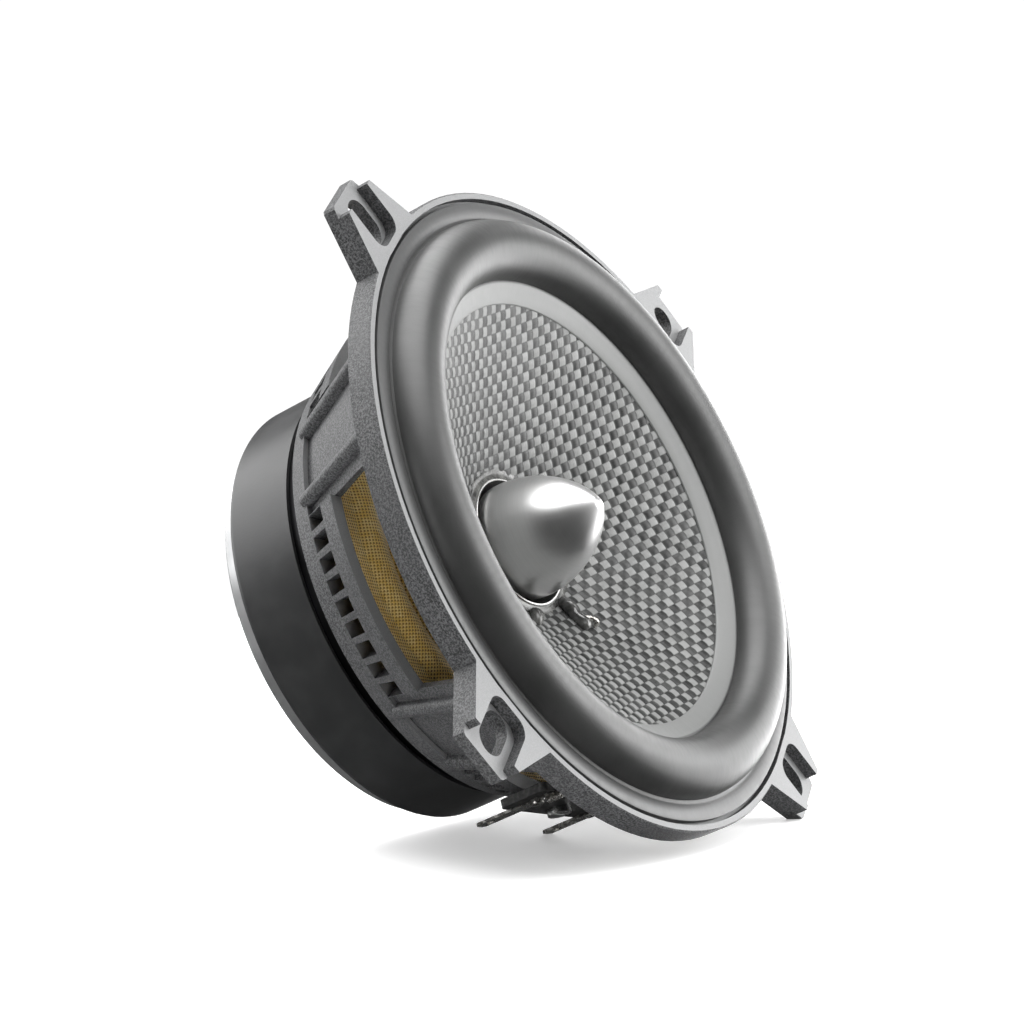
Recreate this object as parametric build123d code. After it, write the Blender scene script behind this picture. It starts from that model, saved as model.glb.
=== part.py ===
from build123d import *
import math
import os

# A 13 cm (5-1/4 inch) car loudspeaker driver: cast basket, half-roll surround, woven cone,
# flat spider, voice coil, ferrite motor and a fixed phase plug on the pole.
# It is drawn with its axis along +Z, facing +Z, and the flange's back face at z = 0, and is
# turned at the end so that it faces -Y with +Z up. Millimetres and degrees.

# ---- Overall sizes ----
flange_radius = 65.0
flange_thickness = 5.0
basket_depth = 30.8          # flange's back face to the top plate

# ---- Basket ----
rim_width = 1.4              # bright strip outside the surround's seat
seat_depth = 1.4
throat_inset = 7.8           # from the flange's edge in to its throat
flange_overhang = 5.5        # flange outside the front of the basket's wall
basket_step = 2.9            # basket's rear edge outside the top plate
arm_wall = 3.2               # wall of arms and ring, before the panels are sunk
ring_wall = 3.4              # wall where the vents are
floor_thickness = 2.5
floor_bore_step = 11.4       # floor's bore inside the top plate's edge
arm_count = 5
first_arm_angle = 45.0
arm_half_angle = 13.7
rib_angle = 9.2              # ribs' place each side of the arm's centre line
rib_radius = 1.45
panel_depth = 1.3
spider_shelf_height = 11.3   # shelf's top in front of the basket's rear face
shelf_width = 3.9
shelf_thickness = 1.5
strip_front_height = 13.0    # ring's front edge, the windows' rear edge
strip_rear_height = 9.0      # vents' front edge
vent_rear_height = 4.4
vents_per_window = 9
vent_pitch_angle = 5.1
vent_angle = 3.5

# ---- Mounting lugs ----
lug_count = 4
bolt_circle_offset = 5.0     # bolt circle's radius outside the flange's edge
slot_width = 6.2
slot_length = 9.6
pocket_width = 9.8
pocket_corner_radius = 2.8
pocket_margin = 0.3          # pocket's end inside the slot's end
pocket_depth = 2.5
lug_root_depth = 0.6         # lug's overlap with the flange's edge
land_corner = 0.4
lug_base_half_angle = 10.0
lug_end_half_width = 6.4
lug_face_end = 4.8           # face's end outside the bolt circle
lug_land_end = 6.9           # lower land's end outside the bolt circle

# ---- Surround ----
seat_gap = 0.8               # open groove outside the surround's lip
outer_lip_width = 3.7
roll_width = 12.5
roll_height = 5.5
rubber_thickness = 0.7
inner_lip_width = 3.7
inner_lip_thickness = 0.5

# ---- Voice coil and motor ----
former_inner_radius = 12.75
former_wall = 0.3
former_top = 1.4             # former's edge in front of the cone's neck
winding_thickness = 0.45
winding_height = 11.5
former_tail = 0.5            # former below the winding
gap_clearance = 0.45
top_plate_radius = 42.4
top_plate_thickness = 5.0
magnet_step = 0.8            # magnet's edge inside the top plate's
magnet_thickness = 11.6
magnet_bore_step = 6.0       # magnet's bore outside the top plate's bore
back_plate_step = 0.8        # back plate's edge inside the magnet's
back_plate_thickness = 5.2
back_plate_chamfer = 0.8
pole_rise = 0.5              # pole's top in front of the top plate
pole_chamfer = 0.4
boot_wall = 0.9              # boot's outside beyond the top plate's edge
boot_cover = 1.6             # boot's grip on the top plate's edge
boot_lip = 1.5
boot_edge_radius = 1.2
boot_slip = 0.1

# ---- Cone and spider ----
cone_thickness = 0.9
neck_height = 4.9            # cone's neck in front of the spider's shelf
cone_edge_drop = 1.35        # cone's front edge behind the flange's face
cone_inset = 0.3             # cone's rim inside the surround's inner foot
glue_gap = 0.1
spider_thickness = 0.45
spider_roll_width = 7.6
spider_roll_height = 1.5
spider_wave_height = 1.1
spider_waves = 8
spider_foot_width = 2.6
spider_slip = 0.2            # spider's edge inside its seat
spider_bore_slip = 0.25      # spider's bore outside the former
spider_bead = 1.5
bead_radius = 0.95
bead_tail = 0.6              # neck bead's run behind the cone
coil_lead_width = 1.2
coil_lead_thickness = 0.15

# ---- Phase plug ----
plug_clearance = 1.15
plug_length = 19.0           # widest ring to tip
plug_nose_radius = 3.0
plug_rise = 1.9              # widest ring in front of the cone's neck
plug_shoulder = 3.6          # shoulder's height behind the widest ring
plug_stem_step = 2.4
stud_radius = 2.5
stud_length = 20.0

# ---- Terminals ----
terminal_angle = 225.0
board_width = 29.0
board_height = 10.5
board_thickness = 1.6
board_corner_radius = 1.2
board_drop = 1.2             # board's rear edge behind its cast seat
board_slip = 0.5             # seat's end beyond the board's, each side
board_seat_cut = 0.3         # seat's depth in the wall
tab_spacing = 21.4
tab_width = 2.8
tab_thickness = 0.5
tab_length = 18.2
tab_hole_radius = 0.6
tab_hole_inset = 2.6
tab_chamfer = 0.6
tab_above_rivet = 4.6        # tab's front end in front of its rivet
rivet_radius = 0.9
rivet_bore_step = 0.35
rivet_head_step = 0.45
rivet_head_height = 0.4
rivet_place = 0.55           # share of the board's height
lead_radius = 0.55
lead_bed = 2.0               # lead's length soldered to its tab
solder_radius = 0.6
lead_rise = 2.2              # lead's first bend above the board
lead_crest = 4.4             # lead's crest above the board
lead_inset = 6.5             # crest inside the tab's face
lead_second_inset = 15.0
lead_last_reach = 9.0        # last bend outside the lead's joint
lead_last_drop = 1.2
lead_joint_reach = 4.95      # lead's joint outside the former
lead_joint_length = 5.4
lead_joint_half_width = 1.5
lead_joint_angles = {"positive": 262.0, "negative": 215.0}

# ---- Screws ----
screw_radius = 2.0
screw_inset = 5.4            # screws' centres inside the top plate's edge
screw_head_radius = 3.6
screw_head_height = 1.6
screw_recess_length = 3.4
screw_recess_width = 0.8
screw_recess_depth = 0.7
screw_depth = 4.2
board_screw_radius = 1.25
board_screw_bite = 2.6
board_screw_head_radius = 2.3
board_screw_head_height = 1.2
board_screw_slot_width = 0.6
board_screw_slot_depth = 0.5

# ---- Places worked out from the sizes ----
floor_bore_radius = top_plate_radius - floor_bore_step
screw_circle_radius = top_plate_radius - screw_inset
magnet_radius = top_plate_radius - magnet_step
back_plate_radius = magnet_radius - back_plate_step
boot_radius = top_plate_radius + boot_wall
front_z = flange_thickness
rear_z = -basket_depth
seat_z = front_z - seat_depth
shell_front_radius = flange_radius - flange_overhang
shell_rear_radius = top_plate_radius + basket_step
throat_radius = flange_radius - throat_inset
seat_radius = flange_radius - rim_width
bolt_radius = flange_radius + bolt_circle_offset

surround_radius = seat_radius - seat_gap
roll_outer_foot = surround_radius - outer_lip_width
roll_inner_foot = roll_outer_foot - roll_width
roll_mid = (roll_outer_foot + roll_inner_foot) / 2
cone_rim_radius = roll_inner_foot - cone_inset

shelf_z = rear_z + spider_shelf_height
strip_front_z = rear_z + strip_front_height
strip_rear_z = rear_z + strip_rear_height
vent_rear_z = rear_z + vent_rear_height
strip_mid_z = (strip_front_z + strip_rear_z) / 2
board_bottom_z = strip_rear_z - board_drop
board_top_z = board_bottom_z + board_height
rivet_z = board_bottom_z + board_height * rivet_place
neck_z = shelf_z + neck_height

former_outer_radius = former_inner_radius + former_wall
winding_radius = former_outer_radius + winding_thickness
gap_radius = winding_radius + gap_clearance
pole_radius = former_inner_radius - gap_clearance
neck_radius = former_outer_radius + glue_gap
magnet_bore = gap_radius + magnet_bore_step
lead_joint_radius = former_outer_radius + lead_joint_reach

plate_rear_z = rear_z - top_plate_thickness
magnet_rear_z = plate_rear_z - magnet_thickness
back_z = magnet_rear_z - back_plate_thickness
pole_z = rear_z + pole_rise
coil_z = rear_z - top_plate_thickness / 2

plug_radius = former_inner_radius - plug_clearance
plug_stem_radius = plug_radius - plug_stem_step
plug_wide_z = neck_z + plug_rise
tip_z = plug_wide_z + plug_length


def shell_radius(z):
    """Outer radius of the basket's conical wall at a height."""
    return shell_front_radius + (shell_front_radius - shell_rear_radius) * z / basket_depth


def cone_z(radius):
    """Height of the cone's front surface at a radius."""
    slope = (front_z - cone_edge_drop - neck_z) / (roll_inner_foot - neck_radius)
    return neck_z + slope * (radius - neck_radius)


def turned(outline):
    """Solid of revolution of closed (radius, z) lines about the axis."""
    return revolve(make_face(Plane.XZ * outline), Axis.Z)


def turned_points(*points):
    return turned(Polyline(*points, close=True))


def ring(outer, inner, top, bottom):
    """Plain tube between two radii and two heights."""
    return turned_points((outer, top), (outer, bottom), (inner, bottom), (inner, top))


def disc(radius, top, bottom):
    return Pos(0, 0, bottom) * Cylinder(radius, top - bottom, align=(Align.CENTER, Align.CENTER, Align.MIN))


def round_about(shape, count, first=0.0):
    """The shape at equal steps round the axis."""
    return [Rot(0, 0, first + 360.0 * i / count) * shape for i in range(count)]


def wedge(half_angle, outer, top, bottom):
    """Three-cornered sector about +X that reaches the outer radius and more."""
    side = outer * math.tan(math.radians(half_angle))
    corners = Polyline((0, 0), (outer, -side), (outer, side), close=True)
    return extrude(Pos(0, 0, bottom) * make_face(corners), top - bottom)


def at_radius(radius, angle, z=0.0):
    return Rot(0, 0, angle) * Pos(radius, 0, z)


# ---- Basket ----
def basket_shell():
    """Flange, conical wall, spider shelf and floor in one turned section."""
    floor_top_z = rear_z + floor_thickness
    shelf_wall = shell_radius(shelf_z) - arm_wall
    shelf_edge = shelf_wall - shelf_width
    under_z = shelf_z - shelf_thickness
    edge_chamfer = 0.3
    return turned_points(
        (seat_radius, front_z),
        (flange_radius - edge_chamfer, front_z),
        (flange_radius, front_z - edge_chamfer),
        (flange_radius, 0),
        (shell_front_radius, 0),
        (shell_rear_radius, rear_z),
        (floor_bore_radius, rear_z),
        (floor_bore_radius, floor_top_z),
        (shell_radius(floor_top_z) - ring_wall, floor_top_z),
        (shell_radius(strip_rear_z) - ring_wall, strip_rear_z),
        (shelf_edge, under_z),
        (shelf_edge, shelf_z),
        (shelf_wall, shelf_z),
        (throat_radius, 0),
        (throat_radius, seat_z),
        (seat_radius, seat_z),
    )


def wall_skin(depth, top, bottom):
    """Everything outside a surface that lies depth under the wall's outside."""
    far = flange_radius + 5
    return turned_points(
        (shell_radius(top) - depth, top), (far, top), (far, bottom), (shell_radius(bottom) - depth, bottom)
    )


def windows():
    """The cutter for the open windows between the arms."""
    half = 180.0 / arm_count - arm_half_angle
    inside = shell_rear_radius - arm_wall - shelf_width - 1
    blank = wedge(half, flange_radius + 8, 0, strip_front_z) - disc(inside, 1, rear_z)
    return round_about(blank, arm_count, first_arm_angle + 180.0 / arm_count)


def vents():
    """The cutters for the row of vents behind each window."""
    cutters = []
    middle = (strip_rear_z + vent_rear_z) / 2
    width = 2 * shell_radius(middle) * math.sin(math.radians(vent_angle / 2))
    depth = ring_wall * 3
    cut = Pos(shell_radius(middle) - depth / 6, 0, middle) * Box(depth, width, strip_rear_z - vent_rear_z)
    for window in range(arm_count):
        centre = first_arm_angle + (window + 0.5) * 360.0 / arm_count
        for i in range(vents_per_window):
            angle = centre + (i - (vents_per_window - 1) / 2) * vent_pitch_angle
            cutters.append(Rot(0, 0, angle) * cut)
    return cutters


def rib():
    """One round-fronted rib along the outside of the wall, from the flange to the rear band."""
    sink = rib_radius * 0.45
    start_z = flange_thickness / 5
    end_z = vent_rear_z - rib_radius / 2
    start = Vector(shell_radius(start_z) - sink, 0, start_z)
    line = Vector(shell_radius(end_z) - sink, 0, end_z) - start
    bar = Cylinder(rib_radius, line.length, align=(Align.CENTER, Align.CENTER, Align.MIN))
    root = Box(2 * rib_radius, arm_wall - 2 * sink, line.length, align=(Align.CENTER, Align.MAX, Align.MIN))
    return Plane(start, x_dir=(0, 1, 0), z_dir=line) * (bar + root)


def lug():
    """One mounting lug on +X: full-height face and a lower land at its end."""
    a = math.radians(lug_base_half_angle)
    root = flange_radius - lug_root_depth
    root_half = root * math.sin(a)
    root_x = root * math.cos(a)
    face_x = bolt_radius + lug_face_end
    land_x = bolt_radius + lug_land_end
    taper = (root_half - lug_end_half_width) / (face_x - root_x)
    land_half = lug_end_half_width - taper * (land_x - face_x)
    cut = land_corner
    land = Polyline(
        (root_x, -root_half), (land_x - cut, -land_half - taper * cut), (land_x, -land_half + cut),
        (land_x, land_half - cut), (land_x - cut, land_half + taper * cut), (root_x, root_half), close=True
    )
    face = Polyline(
        (root_x, -root_half), (face_x, -lug_end_half_width), (face_x, lug_end_half_width),
        (root_x, root_half), close=True
    )
    low = extrude(make_face(land), front_z - pocket_depth)
    high = extrude(make_face(face), front_z)
    return low + high


def lug_cuts():
    """Pocket in the lug's face, open outward, and the bolt slot under it."""
    start = bolt_radius - slot_length / 2 - pocket_margin
    run = 2 * (lug_land_end + slot_length)
    pocket = Pos(start + run / 2, 0) * RectangleRounded(run, pocket_width, pocket_corner_radius)
    slot = Pos(bolt_radius, 0) * SlotOverall(slot_length, slot_width)
    deep = Pos(0, 0, front_z) * extrude(pocket, pocket_depth, both=True)
    return deep + extrude(slot, flange_thickness, both=True)


def terminal_seat_x():
    """Distance of the terminal board's seat from the axis."""
    return shell_radius(strip_mid_z) - board_seat_cut


def make_basket():
    """Cast aluminium basket."""
    body = basket_shell()
    sunk = wall_skin(panel_depth, 0, vent_rear_z) & wedge(arm_half_angle, flange_radius + 8, 0, vent_rear_z)
    body -= round_about(sunk, arm_count, first_arm_angle)
    body -= windows()
    for side in (-1, 1):
        body += round_about(rib(), arm_count, first_arm_angle + side * rib_angle)
    body -= vents()
    body += round_about(lug(), lug_count)
    body -= round_about(lug_cuts(), lug_count)
    floor_hole = disc(screw_radius, rear_z + 2 * floor_thickness, rear_z - floor_thickness)
    body -= round_about(Pos(screw_circle_radius, 0, 0) * floor_hole, arm_count, first_arm_angle)
    seat_reach = 4 * arm_wall
    seat_height = 2 * (strip_front_z - board_bottom_z + board_slip)
    seat_width = board_width + 2 * board_slip
    seat = Box(seat_reach, seat_width, seat_height, align=(Align.MIN, Align.CENTER, Align.CENTER))
    screw_hole = Rot(0, 90, 0) * Cylinder(board_screw_radius, 2 * (arm_wall + board_slip))
    body -= at_radius(terminal_seat_x(), terminal_angle, strip_rear_z) * seat
    body -= at_radius(terminal_seat_x(), terminal_angle, strip_mid_z) * screw_hole
    return body


# ---- Surround, cone and spider ----
def make_surround():
    """Rubber half roll: outer lip in the basket's seat, inner lip over the cone's rim."""
    t = rubber_thickness
    lip_edge = roll_inner_foot - inner_lip_width
    top_z = front_z + roll_height
    lip_start = (lip_edge, cone_z(lip_edge) + glue_gap)
    lip_front = (lip_edge, cone_z(lip_edge) + inner_lip_thickness)
    inner_foot = (roll_inner_foot, cone_z(roll_inner_foot) + inner_lip_thickness)
    inner_under = (roll_inner_foot + t, cone_z(roll_inner_foot) + glue_gap)
    lip_under = (roll_inner_foot, cone_z(roll_inner_foot) + glue_gap)
    outer_foot = (roll_outer_foot, front_z)
    outer_under = (roll_outer_foot - t, seat_z)
    outline = Polyline(lip_start, lip_front, inner_foot)
    outline += ThreePointArc(inner_foot, (roll_mid, top_z), outer_foot)
    outline += Polyline(outer_foot, (surround_radius, front_z), (surround_radius, seat_z), outer_under)
    outline += ThreePointArc(outer_under, (roll_mid, top_z - t), inner_under)
    outline += Polyline(inner_under, lip_under, lip_start)
    return turned(outline)


def make_cone():
    """Woven glass-fibre cone."""
    rim_z = cone_z(cone_rim_radius)
    return turned_points(
        (neck_radius, neck_z), (cone_rim_radius, rim_z),
        (cone_rim_radius, rim_z - cone_thickness), (neck_radius, neck_z - cone_thickness)
    )


def make_cone_glue(cone):
    """Bead of adhesive round the cone's neck."""
    x = former_outer_radius
    edge = x + 2 * bead_radius
    top = neck_z + bead_radius
    tail = neck_z - cone_thickness - bead_tail
    bead = turned_points(
        (x, tail), (x, top), (x + bead_radius, top), (edge, cone_z(edge)), (edge, cone_z(edge) - glue_gap),
        (x + bead_radius / 2, tail)
    )
    return bead - cone


def make_spider():
    """Corrugated cloth disc from the shelf to the former."""
    t = spider_thickness
    outer = shell_radius(shelf_z) - arm_wall - spider_slip
    roll_outer = outer - shelf_width
    roll_inner = roll_outer - spider_roll_width
    inner = former_outer_radius + spider_bore_slip
    wave = (roll_inner - inner - spider_foot_width) / spider_waves
    edges = [roll_inner - i * wave for i in range(spider_waves + 1)]

    def side(z):
        crest = ((roll_outer + roll_inner) / 2, z + spider_roll_height)
        curve = Polyline((outer, z), (roll_outer, z))
        curve += ThreePointArc((roll_outer, z), crest, (roll_inner, z))
        for i in range(spider_waves):
            rise = spider_wave_height if i % 2 else -spider_wave_height
            crest = ((edges[i] + edges[i + 1]) / 2, z + rise)
            curve += ThreePointArc((edges[i], z), crest, (edges[i + 1], z))
        curve += Line((edges[-1], z), (inner, z))
        return curve

    outline = side(shelf_z) + Line((inner, shelf_z), (inner, shelf_z + t)) + side(shelf_z + t)
    outline += Line((outer, shelf_z + t), (outer, shelf_z))
    return turned(outline)


# ---- Voice coil ----
def coil_lead(angle):
    """Flat lead-out of the winding, up the outside of the former."""
    top = neck_z - cone_thickness - bead_tail - glue_gap
    strip = ring(former_outer_radius + coil_lead_thickness, former_outer_radius, top, coil_z)
    width = Box(coil_lead_width, coil_lead_width, 4 * basket_depth)
    return strip & at_radius(former_outer_radius, angle) * width


def make_winding():
    """Copper winding with its two lead-outs."""
    half = winding_height / 2
    winding = ring(winding_radius, former_outer_radius, coil_z + half, coil_z - half)
    for angle in lead_joint_angles.values():
        winding += coil_lead(angle)
    return winding


def make_former():
    """Thin tube that carries the winding."""
    bottom = coil_z - winding_height / 2 - former_tail
    return ring(former_outer_radius, former_inner_radius, neck_z + former_top, bottom)


def make_spider_glue(winding):
    """Bead between the spider's foot and the former."""
    x = former_outer_radius
    low = shelf_z + spider_thickness + glue_gap
    bead = turned_points((x, low), (x + spider_bead, low), (x, low + spider_bead))
    return bead - winding


def make_lead_joint(angle):
    """Long adhesive mound on the cone over a lead-out's joint."""
    half = lead_joint_half_width
    start = former_outer_radius + 2 * bead_radius + half + glue_gap
    end = start + lead_joint_length - 2 * half
    slope = math.degrees(math.atan2(cone_z(end) - cone_z(start), end - start))
    body = Rot(0, 90, 0) * Cylinder(half, end - start, align=(Align.CENTER, Align.CENTER, Align.MIN))
    body += Sphere(half) + Pos(end - start, 0, 0) * Sphere(half)
    mound = at_radius(start, angle, cone_z(start)) * Rot(0, -slope, 0) * body
    rim_z = cone_z(cone_rim_radius)
    above = turned_points((neck_radius, neck_z), (cone_rim_radius, rim_z), (neck_radius, rim_z))
    return mound & above


# ---- Motor ----
def make_top_plate():
    """Steel ring round the voice coil's gap, with the basket's screw holes."""
    plate = ring(top_plate_radius, gap_radius, rear_z, plate_rear_z)
    holes = round_about(
        Pos(screw_circle_radius, 0, 0) * disc(screw_radius, rear_z, rear_z - screw_depth), arm_count, first_arm_angle
    )
    return plate - holes


def make_magnet():
    """Ferrite ring."""
    return ring(magnet_radius, magnet_bore, plate_rear_z, magnet_rear_z)


def make_back_plate():
    """Steel T-yoke: back plate and pole in one, with the stud's tapped hole."""
    plate = disc(back_plate_radius, magnet_rear_z, back_z)
    plate = chamfer(plate.edges().group_by(Axis.Z)[0], back_plate_chamfer)
    pole = disc(pole_radius, pole_z, magnet_rear_z)
    pole = chamfer(pole.edges().group_by(Axis.Z)[-1], pole_chamfer)
    return plate + pole - disc(stud_radius, pole_z + 1, pole_z - stud_length / 2)


def make_boot():
    """Rubber boot over the magnet, turned in behind it and gripping the top plate."""
    grip = top_plate_radius + boot_slip
    sleeve = magnet_radius + boot_slip
    front = plate_rear_z + boot_cover
    rear = magnet_rear_z - boot_lip
    boot = turned_points(
        (boot_radius, front), (boot_radius, rear), (back_plate_radius + boot_slip, rear),
        (back_plate_radius + boot_slip, magnet_rear_z), (sleeve, magnet_rear_z), (sleeve, plate_rear_z),
        (grip, plate_rear_z), (grip, front)
    )
    outer_edges = boot.edges().filter_by(GeomType.CIRCLE).sort_by(lambda e: e.radius)[-2:]
    return fillet(outer_edges.sort_by(Axis.Z)[0], boot_edge_radius)


# ---- Phase plug ----
def make_phase_plug():
    """Turned aluminium bullet: stem on the pole, round shoulder, ogive and round nose."""
    reach = tip_z - plug_nose_radius - plug_wide_z
    ogive = (plug_radius**2 + reach**2 - plug_nose_radius**2) / (2 * (plug_radius - plug_nose_radius))
    centre_x = plug_radius - ogive
    lean = math.atan2(reach, -centre_x)
    touch = (centre_x + ogive * math.cos(lean), plug_wide_z + ogive * math.sin(lean))
    half = lean / 2
    on_ogive = (centre_x + ogive * math.cos(half), plug_wide_z + ogive * math.sin(half))
    nose_turn = (lean + math.pi / 2) / 2
    nose_z = tip_z - plug_nose_radius
    on_nose = (plug_nose_radius * math.cos(nose_turn), nose_z + plug_nose_radius * math.sin(nose_turn))
    shoulder_z = plug_wide_z - plug_shoulder
    mid_turn = math.radians(45)
    on_shoulder = (
        plug_stem_radius + plug_stem_step * math.cos(mid_turn), plug_wide_z - plug_shoulder * math.sin(mid_turn)
    )
    outline = Polyline((0, tip_z), (0, pole_z), (plug_stem_radius, pole_z), (plug_stem_radius, shoulder_z))
    outline += ThreePointArc((plug_stem_radius, shoulder_z), on_shoulder, (plug_radius, plug_wide_z))
    outline += ThreePointArc((plug_radius, plug_wide_z), on_ogive, touch)
    outline += ThreePointArc(touch, on_nose, (0, tip_z))
    return turned(outline) - disc(stud_radius, pole_z + stud_length / 2, pole_z - 1)


def make_stud():
    """Stud between pole and plug."""
    return disc(stud_radius, pole_z + stud_length / 2, pole_z - stud_length / 2)


# ---- Screws ----
def make_basket_screws():
    """Pan-head screws through the basket's floor into the top plate."""
    head_z = rear_z + floor_thickness
    screw = disc(screw_radius, head_z, rear_z - screw_depth)
    head = disc(screw_head_radius, head_z + screw_head_height, head_z)
    head = fillet(head.edges().group_by(Axis.Z)[-1], screw_head_height * 0.5)
    slit = Box(screw_recess_length, screw_recess_width, 2 * screw_recess_depth)
    cross = Pos(0, 0, head_z + screw_head_height) * (slit + Rot(0, 0, 90) * slit)
    return round_about(Pos(screw_circle_radius, 0, 0) * (screw + head - cross), arm_count, first_arm_angle)


# ---- Terminals ----
def board_place(side, z, out=0.0):
    """A point on the board's outer face: side along it, z up it, out from it."""
    return Rot(0, 0, terminal_angle) * Pos(terminal_seat_x() + board_thickness + out, side, z)


def make_terminal_board():
    """Fibre board with holes for its screw and the tabs' rivets."""
    board = Box(board_thickness, board_width, board_height, align=(Align.MAX, Align.CENTER, Align.MIN))
    board = fillet(board.edges().filter_by(Axis.X), board_corner_radius)
    board = board_place(0, board_bottom_z) * board
    rivet_hole = Rot(0, 90, 0) * Cylinder(rivet_radius, 4 * board_thickness)
    screw_hole = Rot(0, 90, 0) * Cylinder(board_screw_radius, 4 * board_thickness)
    for side in (-1, 1):
        board -= board_place(side * tab_spacing / 2, rivet_z) * rivet_hole
    return board - board_place(0, strip_mid_z) * screw_hole


def make_tab(side):
    """Flat blade tab on the board, pointing back past its edge."""
    blade = Box(tab_thickness, tab_width, tab_length, align=(Align.MIN, Align.CENTER, Align.MAX))
    blade = chamfer(blade.edges().filter_by(Axis.X).group_by(Axis.Z)[0], tab_chamfer)
    lock_hole = Rot(0, 90, 0) * Cylinder(tab_hole_radius, 4 * tab_thickness)
    rivet_hole = Rot(0, 90, 0) * Cylinder(rivet_radius, 4 * tab_thickness)
    blade -= Pos(0, 0, tab_hole_inset - tab_length) * lock_hole
    blade -= Pos(0, 0, -tab_above_rivet) * rivet_hole
    return board_place(side * tab_spacing / 2, rivet_z + tab_above_rivet) * blade


def make_rivets():
    """Tubular rivets through the tabs and the board."""
    length = board_thickness + tab_thickness
    along = Rot(0, 90, 0)
    shank = Pos(tab_thickness - length / 2, 0, 0) * along * Cylinder(rivet_radius, length)
    head = along * Cylinder(rivet_radius + rivet_head_step, rivet_head_height)
    bore = along * Cylinder(rivet_radius - rivet_bore_step, 4 * length)
    rivet = shank + Pos(tab_thickness + rivet_head_height / 2, 0, 0) * head - bore
    return [board_place(side * tab_spacing / 2, rivet_z) * rivet for side in (-1, 1)]


def make_solder():
    """Solder mounds on the tabs, at the leads' ends."""
    mounds = []
    z = rivet_z + tab_above_rivet - lead_bed - solder_radius
    reach = 4 * solder_radius
    for side in (-1, 1):
        mound = Sphere(solder_radius) & Box(reach, reach, reach, align=(Align.MIN, Align.CENTER, Align.CENTER))
        mounds.append(board_place(side * tab_spacing / 2, z, tab_thickness) * mound)
    return mounds


def make_board_screw():
    """Slotted screw that holds the board on its cast seat."""
    length = board_thickness + board_screw_bite
    height = board_screw_head_height
    along = Rot(0, 90, 0)
    shank = Pos(-length / 2, 0, 0) * along * Cylinder(board_screw_radius, length)
    head = Pos(height / 2, 0, 0) * along * Cylinder(board_screw_head_radius, height)
    slot = Box(2 * board_screw_slot_depth, 4 * board_screw_head_radius, board_screw_slot_width)
    return board_place(0, strip_mid_z) * (shank + head - Pos(height, 0, 0) * slot)


def make_lead(side, angle):
    """Tinsel lead from the tab's face up over the board, in through the window, to the cone's back."""
    face = tab_thickness + lead_radius
    start = board_place(side * tab_spacing / 2, rivet_z + tab_above_rivet - lead_bed, face).position
    tab_turn = math.degrees(math.atan2(start.Y, start.X)) % 360
    swing = angle - tab_turn
    reach = math.hypot(start.X, start.Y)
    end_z = cone_z(lead_joint_radius) - cone_thickness - glue_gap - 1.2 * lead_radius
    last = lead_joint_radius + lead_last_reach
    points = [
        start,
        at_radius(reach, tab_turn, board_top_z + lead_rise).position,
        at_radius(reach - lead_inset, tab_turn + 0.10 * swing, board_top_z + lead_crest).position,
        at_radius(reach - lead_second_inset, tab_turn + 0.35 * swing, board_top_z + lead_rise).position,
        at_radius(last, tab_turn + 0.72 * swing, board_top_z - lead_last_drop).position,
        at_radius(lead_joint_radius, angle, end_z).position,
    ]
    radii = []
    for before, corner, after in zip(points, points[1:], points[2:]):
        first, second = corner - before, after - corner
        turn = math.radians(first.get_angle(second))
        radii.append(0.45 * min(first.length, second.length) / math.tan(turn / 2))
    path = FilletPolyline(*points, radius=radii)
    section = Plane(start, z_dir=points[1] - start) * Circle(lead_radius)
    return sweep(section, path)


# ---- Put together and written ----
def build_nodes():
    cone = make_cone()
    winding = make_winding()
    nodes = {
        "basket": make_basket(),
        "surround": make_surround(),
        "cone": cone,
        "cone_neck_glue": make_cone_glue(cone),
        "voice_coil_former": make_former(),
        "voice_coil_winding": winding,
        "spider": make_spider(),
        "spider_glue": make_spider_glue(winding),
        "phase_plug": make_phase_plug(),
        "phase_plug_stud": make_stud(),
        "top_plate": make_top_plate(),
        "magnet": make_magnet(),
        "back_plate": make_back_plate(),
        "magnet_boot": make_boot(),
        "basket_screws": make_basket_screws(),
        "terminal_board": make_terminal_board(),
        "terminal_rivets": make_rivets(),
        "terminal_solder": make_solder(),
        "terminal_screw": make_board_screw(),
    }
    for name, side in (("positive", 1), ("negative", -1)):
        angle = lead_joint_angles[name]
        nodes["terminal_" + name] = make_tab(side)
        nodes["tinsel_lead_" + name] = make_lead(side, angle)
        nodes["lead_joint_" + name] = make_lead_joint(angle)
    return nodes


os.makedirs("parts", exist_ok=True)
upright = Rot(90, 0, 0)
for name, shape in build_nodes().items():
    solids = shape if isinstance(shape, list) else [shape]
    turned_solids = [upright * solid for piece in solids for solid in piece.solids()]
    whole = turned_solids[0] if len(turned_solids) == 1 else Compound(turned_solids)
    export_step(whole, "parts/" + name + ".step")
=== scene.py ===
import bpy
import math
import numpy as np
from mathutils import Matrix, Vector


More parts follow.
